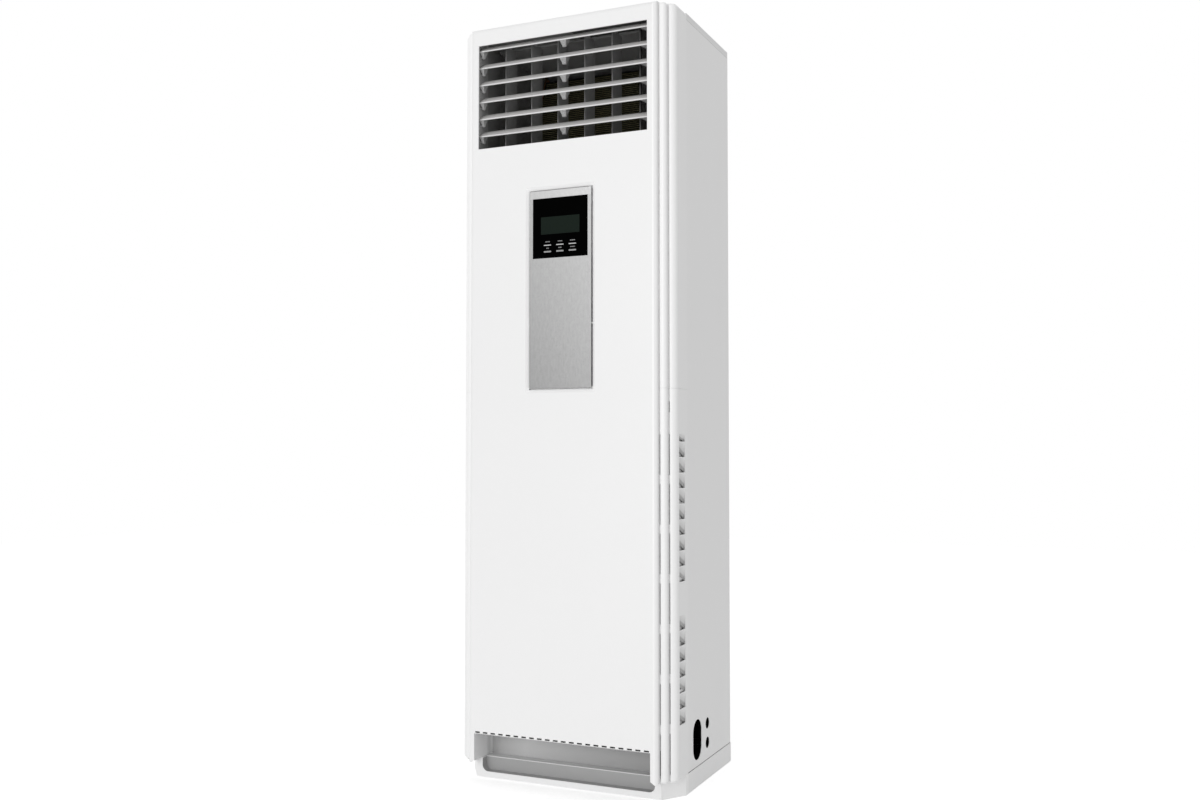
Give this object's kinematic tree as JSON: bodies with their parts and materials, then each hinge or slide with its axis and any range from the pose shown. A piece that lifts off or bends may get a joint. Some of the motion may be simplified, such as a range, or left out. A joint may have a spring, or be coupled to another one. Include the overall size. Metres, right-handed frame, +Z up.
{
  "type": "floor standing air conditioner",
  "caption": "Tall white floor standing air conditioner indoor unit with tilting outlet blades, swinging vanes, a control panel, side intake louvres and a blower inside.",
  "frame": {"origin": "middle of the base on the floor", "axes": "+Z up, +Y to the back, +X to the right of someone who faces the front"},
  "size_m": [0.545, 0.412, 1.78],
  "materials": {
    "white_plastic": "satin",
    "white_steel": "powder coat",
    "grey_plastic": "moulded",
    "blade_plastic": "moulded",
    "vane_plastic": "moulded",
    "dark_plastic": "moulded",
    "dark_foam": "moulded foam",
    "silver_plate": "brushed",
    "black_gloss": "gloss",
    "lcd": "satin",
    "key_metal": "satin",
    "fin_aluminium": "plain",
    "copper": "drawn",
    "zinc_steel": "zinc plated",
    "cast_aluminium": "as cast",
    "circuit": "board"
  },
  "bodies": {
    "cabinet": {"base_tray": "white_steel", "toe_recess": "grey_plastic", "front_panel": "white_plastic", "right_lower_post": "white_plastic", "left_lower_post": "white_plastic", "right_upper_post": "white_plastic", "left_upper_post": "white_plastic", "right_side_panel": "white_steel", "left_side_panel": "white_steel", "back_panel": "white_steel", "top_cover": "white_plastic", "control_plate": "silver_plate", "display_window": "black_gloss", "lcd_module": "lcd", "control_housing": "grey_plastic", "outlet_frame": "grey_plastic", "evaporator_fins": "fin_aluminium", "evaporator_tubes": "copper", "drain_pan": "dark_plastic", "drain_pipe": "grey_plastic", "gas_pipe": "copper", "liquid_pipe": "copper", "fan_deck": "zinc_steel", "scroll_housing": "zinc_steel", "inlet_bellmouth": "dark_plastic", "fan_motor": "cast_aluminium", "motor_bracket": "zinc_steel", "right_filter": "dark_plastic", "left_filter": "dark_plastic", "electric_box": "zinc_steel", "electric_box_cover": "zinc_steel", "main_board": "circuit", "terminal_block": "dark_plastic", "key_board": "circuit", "vane_motor": "dark_plastic", "air_duct": "dark_foam"},
    "blower": {"fan_wheel": "dark_plastic", "fan_shaft": "zinc_steel"},
    "louvre_link": {"louvre_link": "blade_plastic"},
    "vane_link": {"vane_link": "vane_plastic"},
    "louvre_1": {"louvre_1": "blade_plastic"},
    "louvre_2": {"louvre_2": "blade_plastic"},
    "louvre_3": {"louvre_3": "blade_plastic"},
    "louvre_4": {"louvre_4": "blade_plastic"},
    "louvre_5": {"louvre_5": "blade_plastic"},
    "louvre_6": {"louvre_6": "blade_plastic"},
    "vane_1": {"vane_1": "vane_plastic"},
    "vane_2": {"vane_2": "vane_plastic"},
    "vane_3": {"vane_3": "vane_plastic"},
    "vane_4": {"vane_4": "vane_plastic"},
    "vane_5": {"vane_5": "vane_plastic"},
    "vane_6": {"vane_6": "vane_plastic"},
    "key_1": {"key_1": "key_metal"},
    "key_2": {"key_2": "key_metal"},
    "key_3": {"key_3": "key_metal"},
    "key_4": {"key_4": "key_metal"},
    "key_5": {"key_5": "key_metal"},
    "key_6": {"key_6": "key_metal"}
  },
  "joints": [
    {"name": "blower_spin", "type": "hinge", "parent": "cabinet", "child": "blower", "pos_m": [0, 0, 0.468], "axis": [0, 1, 0], "continuous": true},
    {"name": "louvre_1_tilt", "type": "hinge", "parent": "cabinet", "child": "louvre_1", "pos_m": [0, -0.18128, 1.71828], "axis": [1, 0, 0], "range_deg": [-42, 28]},
    {"name": "louvre_2_tilt", "type": "hinge", "parent": "cabinet", "child": "louvre_2", "pos_m": [0, -0.18128, 1.67698], "axis": [1, 0, 0], "range_deg": [-42, 28]},
    {"name": "louvre_3_tilt", "type": "hinge", "parent": "cabinet", "child": "louvre_3", "pos_m": [0, -0.18128, 1.63568], "axis": [1, 0, 0], "range_deg": [-42, 28]},
    {"name": "louvre_4_tilt", "type": "hinge", "parent": "cabinet", "child": "louvre_4", "pos_m": [0, -0.18128, 1.59438], "axis": [1, 0, 0], "range_deg": [-42, 28]},
    {"name": "louvre_5_tilt", "type": "hinge", "parent": "cabinet", "child": "louvre_5", "pos_m": [0, -0.18128, 1.55308], "axis": [1, 0, 0], "range_deg": [-42, 28]},
    {"name": "louvre_6_tilt", "type": "hinge", "parent": "cabinet", "child": "louvre_6", "pos_m": [0, -0.18128, 1.51178], "axis": [1, 0, 0], "range_deg": [-42, 28]},
    {"name": "louvre_link_swing", "type": "hinge", "parent": "louvre_1", "child": "louvre_link", "pos_m": [0.184, -0.16305, 1.74382], "axis": [1, 0, 0], "range_deg": [-28, 42]},
    {"name": "vane_1_swing", "type": "hinge", "parent": "cabinet", "child": "vane_1", "pos_m": [-0.17575, -0.124, 1.496], "axis": [0, 0, 1], "range_deg": [-40, 40]},
    {"name": "vane_2_swing", "type": "hinge", "parent": "cabinet", "child": "vane_2", "pos_m": [-0.10545, -0.124, 1.496], "axis": [0, 0, 1], "range_deg": [-40, 40]},
    {"name": "vane_3_swing", "type": "hinge", "parent": "cabinet", "child": "vane_3", "pos_m": [-0.03515, -0.124, 1.496], "axis": [0, 0, 1], "range_deg": [-40, 40]},
    {"name": "vane_4_swing", "type": "hinge", "parent": "cabinet", "child": "vane_4", "pos_m": [0.03515, -0.124, 1.496], "axis": [0, 0, 1], "range_deg": [-40, 40]},
    {"name": "vane_5_swing", "type": "hinge", "parent": "cabinet", "child": "vane_5", "pos_m": [0.10545, -0.124, 1.496], "axis": [0, 0, 1], "range_deg": [-40, 40]},
    {"name": "vane_6_swing", "type": "hinge", "parent": "cabinet", "child": "vane_6", "pos_m": [0.17575, -0.124, 1.496], "axis": [0, 0, 1], "range_deg": [-40, 40]},
    {"name": "vane_link_swing", "type": "hinge", "parent": "vane_6", "child": "vane_link", "pos_m": [0.17575, -0.1, 1.4895], "axis": [0, 0, 1], "range_deg": [-40, 40]},
    {"name": "key_1_press", "type": "slide", "parent": "cabinet", "child": "key_1", "axis": [0, 1, 0], "range_m": [0, 0.001], "stiffness_N_per_m": 400, "springref_m": -0.0005},
    {"name": "key_2_press", "type": "slide", "parent": "cabinet", "child": "key_2", "axis": [0, 1, 0], "range_m": [0, 0.001], "stiffness_N_per_m": 400, "springref_m": -0.0005},
    {"name": "key_3_press", "type": "slide", "parent": "cabinet", "child": "key_3", "axis": [0, 1, 0], "range_m": [0, 0.001], "stiffness_N_per_m": 400, "springref_m": -0.0005},
    {"name": "key_4_press", "type": "slide", "parent": "cabinet", "child": "key_4", "axis": [0, 1, 0], "range_m": [0, 0.001], "stiffness_N_per_m": 400, "springref_m": -0.0005},
    {"name": "key_5_press", "type": "slide", "parent": "cabinet", "child": "key_5", "axis": [0, 1, 0], "range_m": [0, 0.001], "stiffness_N_per_m": 400, "springref_m": -0.0005},
    {"name": "key_6_press", "type": "slide", "parent": "cabinet", "child": "key_6", "axis": [0, 1, 0], "range_m": [0, 0.001], "stiffness_N_per_m": 400, "springref_m": -0.0005}
  ],
  "couplings": [
    {"joint": "louvre_2_tilt", "follows": "louvre_1_tilt", "ratio": 1},
    {"joint": "louvre_3_tilt", "follows": "louvre_1_tilt", "ratio": 1},
    {"joint": "louvre_4_tilt", "follows": "louvre_1_tilt", "ratio": 1},
    {"joint": "louvre_5_tilt", "follows": "louvre_1_tilt", "ratio": 1},
    {"joint": "louvre_6_tilt", "follows": "louvre_1_tilt", "ratio": 1},
    {"joint": "louvre_link_swing", "follows": "louvre_1_tilt", "ratio": -1},
    {"joint": "vane_1_swing", "follows": "vane_6_swing", "ratio": 1},
    {"joint": "vane_2_swing", "follows": "vane_6_swing", "ratio": 1},
    {"joint": "vane_3_swing", "follows": "vane_6_swing", "ratio": 1},
    {"joint": "vane_4_swing", "follows": "vane_6_swing", "ratio": 1},
    {"joint": "vane_5_swing", "follows": "vane_6_swing", "ratio": 1},
    {"joint": "vane_link_swing", "follows": "vane_6_swing", "ratio": -1}
  ]
}
